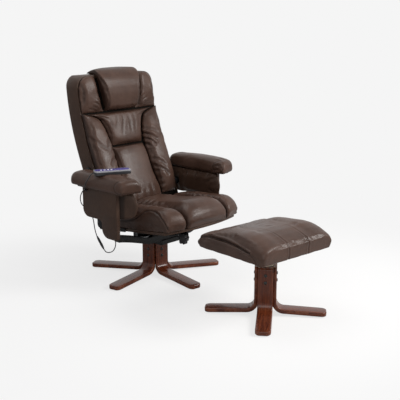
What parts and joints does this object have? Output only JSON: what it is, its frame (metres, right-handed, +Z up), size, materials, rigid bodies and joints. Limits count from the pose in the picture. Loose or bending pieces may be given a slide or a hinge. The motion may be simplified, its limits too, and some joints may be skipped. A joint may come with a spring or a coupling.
{
  "type": "reclining massage chair with footstool",
  "caption": "Swivel recliner in padded leather with headrest, padded arms, bent-wood star base, wired handset and matching swivel footstool.",
  "frame": {"origin": "on the floor, at the middle of the whole set's footprint (chair and footstool together, cord left out)", "axes": "+Z up; -Y is the way the chair faces, with the footstool in front of it; +Y is to the rear; +X is the sitter's left"},
  "size_m": [0.7943, 1.3662, 1.028],
  "materials": {
    "leather": "soft semi-gloss grain",
    "arm_leather": "smooth, low sheen",
    "cherry_wood": "satin lacquer over bent laminations",
    "plywood": "bare",
    "black_steel": "satin powder coat",
    "zinc_steel": "bright zinc",
    "black_bolts": "black oxide",
    "bush": "moulded",
    "glides": "moulded",
    "black_plastic": "fine texture",
    "silver_plastic": "metallic paint",
    "blue_plastic": "gloss",
    "button_plastic": "gloss",
    "circuit": "lacquered board",
    "cord": "smooth",
    "motor_case": "plain"
  },
  "bodies": {
    "base": {"chair_leg_1": "cherry_wood", "chair_leg_2": "cherry_wood", "chair_leg_3": "cherry_wood", "chair_leg_4": "cherry_wood", "chair_leg_5": "cherry_wood", "chair_core": "black_steel", "chair_bush": "bush", "chair_leg_bolts": "black_bolts", "chair_glides": "glides", "stool_leg_1": "cherry_wood", "stool_leg_2": "cherry_wood", "stool_leg_3": "cherry_wood", "stool_leg_4": "cherry_wood", "stool_core": "black_steel", "stool_bush": "bush", "stool_leg_bolts": "black_bolts", "stool_glides": "glides"},
    "swivel": {"chair_spindle": "zinc_steel", "swivel_tray": "black_steel", "arm_cross_bar": "black_steel", "seat_rails": "black_steel", "arm_board_right": "arm_leather", "arm_board_left": "arm_leather", "arm_top_boards": "arm_leather", "arm_pad_right": "leather", "arm_pad_left": "leather", "inner_arm_pad_right": "leather", "inner_arm_pad_left": "leather", "arm_bolts": "zinc_steel", "pivot_posts": "black_steel", "lock_bracket": "black_steel", "cord_clip": "black_plastic", "control_box": "black_plastic", "handset_case": "silver_plastic", "handset_face": "blue_plastic", "handset_circuit": "circuit", "handset_cord": "cord", "cord_connector": "black_plastic", "control_cord": "cord"},
    "back": {"back_shell": "leather", "back_board": "plywood", "back_brackets": "black_steel", "back_motors": "motor_case", "lumbar_cushion": "leather", "upper_back_cushion": "leather", "back_bolsters": "leather", "back_wings": "leather", "headrest": "leather"},
    "seat": {"seat_board": "arm_leather", "seat_subframe": "black_steel", "seat_cushion": "leather", "seat_side_cushions": "leather"},
    "knob": {"lock_knob": "black_plastic"},
    "stool_top": {"stool_spindle": "zinc_steel", "stool_board": "plywood", "stool_cushion": "leather"},
    "button_1": {"handset_button_1": "button_plastic"},
    "button_2": {"handset_button_2": "button_plastic"},
    "button_3": {"handset_button_3": "button_plastic"},
    "button_4": {"handset_button_4": "button_plastic"}
  },
  "joints": [
    {"name": "chair_swivel", "type": "hinge", "parent": "base", "child": "swivel", "pos_m": [0, 0.32022, 0.173], "axis": [0, 0, 1], "continuous": true},
    {"name": "back_recline", "type": "hinge", "parent": "swivel", "child": "back", "pos_m": [0, 0.44422, 0.42], "axis": [-1, 0, 0], "range_deg": [0, 24]},
    {"name": "seat_slide", "type": "slide", "parent": "swivel", "child": "seat", "axis": [0, -0.9936, 0.1132], "range_m": [0, 0.0582]},
    {"name": "lock_knob_turn", "type": "hinge", "parent": "swivel", "child": "knob", "pos_m": [-0.07, 0.04822, 0.246], "axis": [-1, 0, 0], "range_deg": [0, 180]},
    {"name": "stool_swivel", "type": "hinge", "parent": "base", "child": "stool_top", "pos_m": [-0.057, -0.45278, 0.228], "axis": [0, 0, 1], "continuous": true},
    {"name": "handset_button_1_press", "type": "slide", "parent": "swivel", "child": "button_1", "axis": [0, 0, -1], "range_m": [0, 0.001], "stiffness_N_per_m": 800, "springref_m": -0.0005},
    {"name": "handset_button_2_press", "type": "slide", "parent": "swivel", "child": "button_2", "axis": [0, 0, -1], "range_m": [0, 0.001], "stiffness_N_per_m": 800, "springref_m": -0.0005},
    {"name": "handset_button_3_press", "type": "slide", "parent": "swivel", "child": "button_3", "axis": [0, 0, -1], "range_m": [0, 0.001], "stiffness_N_per_m": 800, "springref_m": -0.0005},
    {"name": "handset_button_4_press", "type": "slide", "parent": "swivel", "child": "button_4", "axis": [0, 0, -1], "range_m": [0, 0.001], "stiffness_N_per_m": 800, "springref_m": -0.0005}
  ],
  "couplings": [
    {"joint": "seat_slide", "follows": "back_recline", "m_per_rad": 0.1385}
  ]
}
